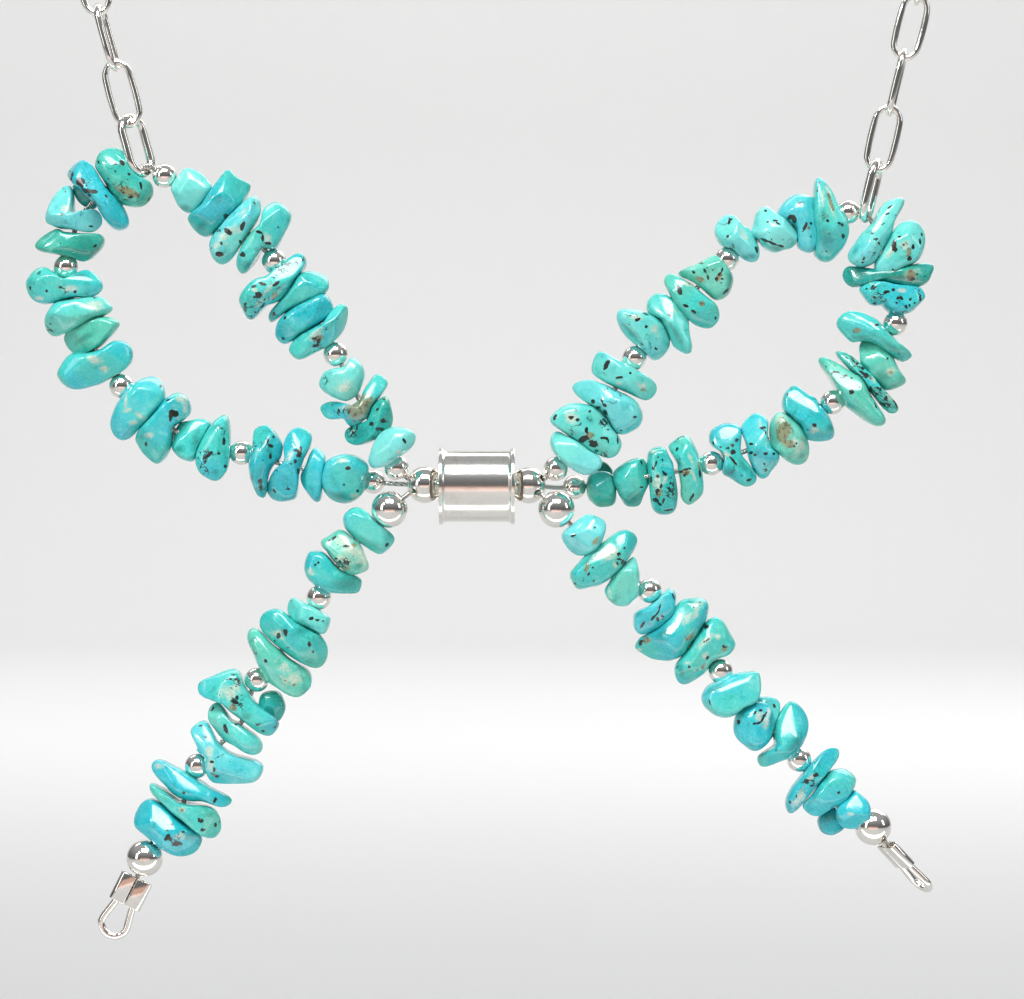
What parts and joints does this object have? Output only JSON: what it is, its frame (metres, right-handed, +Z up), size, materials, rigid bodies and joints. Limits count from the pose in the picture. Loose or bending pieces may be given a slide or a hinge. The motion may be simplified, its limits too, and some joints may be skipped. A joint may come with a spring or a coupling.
{
  "type": "beaded necklace",
  "caption": "Necklace with a bow of tumbled turquoise chips and silver beads, drawn through a silver tube and hung from oval rings on a fine silver link chain.",
  "frame": {"origin": "middle of the clasp, where the chain lies on the nape of the neck", "axes": "+Z up as worn, -Y forwards, towards the front of the bow, +X to the right when facing the bow"},
  "size_m": [0.1106, 0.1012, 0.1785],
  "materials": {
    "silver": "polished",
    "turquoise": "gloss"
  },
  "bodies": {
    "root": {"centre_tube": "silver", "bead_tube_left": "silver", "bead_tube_right": "silver", "bead_left_loop_1": "silver", "bead_left_loop_2": "silver", "bead_left_loop_3": "silver", "bead_left_loop_4": "silver", "bead_left_loop_5": "silver", "bead_left_loop_6": "silver", "bead_left_loop_7": "silver", "bead_left_loop_8": "silver", "bead_right_loop_1": "silver", "bead_right_loop_2": "silver", "bead_right_loop_3": "silver", "bead_right_loop_4": "silver", "bead_right_loop_5": "silver", "bead_right_loop_6": "silver", "bead_right_loop_7": "silver", "bead_right_loop_8": "silver", "bead_left_tail_1": "silver", "bead_left_tail_2": "silver", "bead_left_tail_3": "silver", "bead_left_tail_4": "silver", "bead_left_tail_5": "silver", "bead_right_tail_1": "silver", "bead_right_tail_2": "silver", "bead_right_tail_3": "silver", "bead_right_tail_4": "silver", "bead_right_tail_5": "silver", "ring_left": "silver", "ring_right": "silver", "end_crimp_left": "silver", "end_crimp_right": "silver", "chain_left_front": "silver", "chain_left_neck": "silver", "chain_right_front": "silver", "chain_right_neck": "silver", "clasp": "silver", "chips_left_loop_1": "turquoise", "chips_left_loop_2": "turquoise", "chips_left_loop_3": "turquoise", "chips_left_loop_4": "turquoise", "chips_left_loop_5": "turquoise", "chips_left_loop_6": "turquoise", "chips_left_loop_7": "turquoise", "chips_right_loop_1": "turquoise", "chips_right_loop_2": "turquoise", "chips_right_loop_3": "turquoise", "chips_right_loop_4": "turquoise", "chips_right_loop_5": "turquoise", "chips_right_loop_6": "turquoise", "chips_right_loop_7": "turquoise", "chips_left_tail_1": "turquoise", "chips_left_tail_2": "turquoise", "chips_left_tail_3": "turquoise", "chips_left_tail_4": "turquoise", "chips_right_tail_1": "turquoise", "chips_right_tail_2": "turquoise", "chips_right_tail_3": "turquoise", "chips_right_tail_4": "turquoise"}
  },
  "joints": []
}
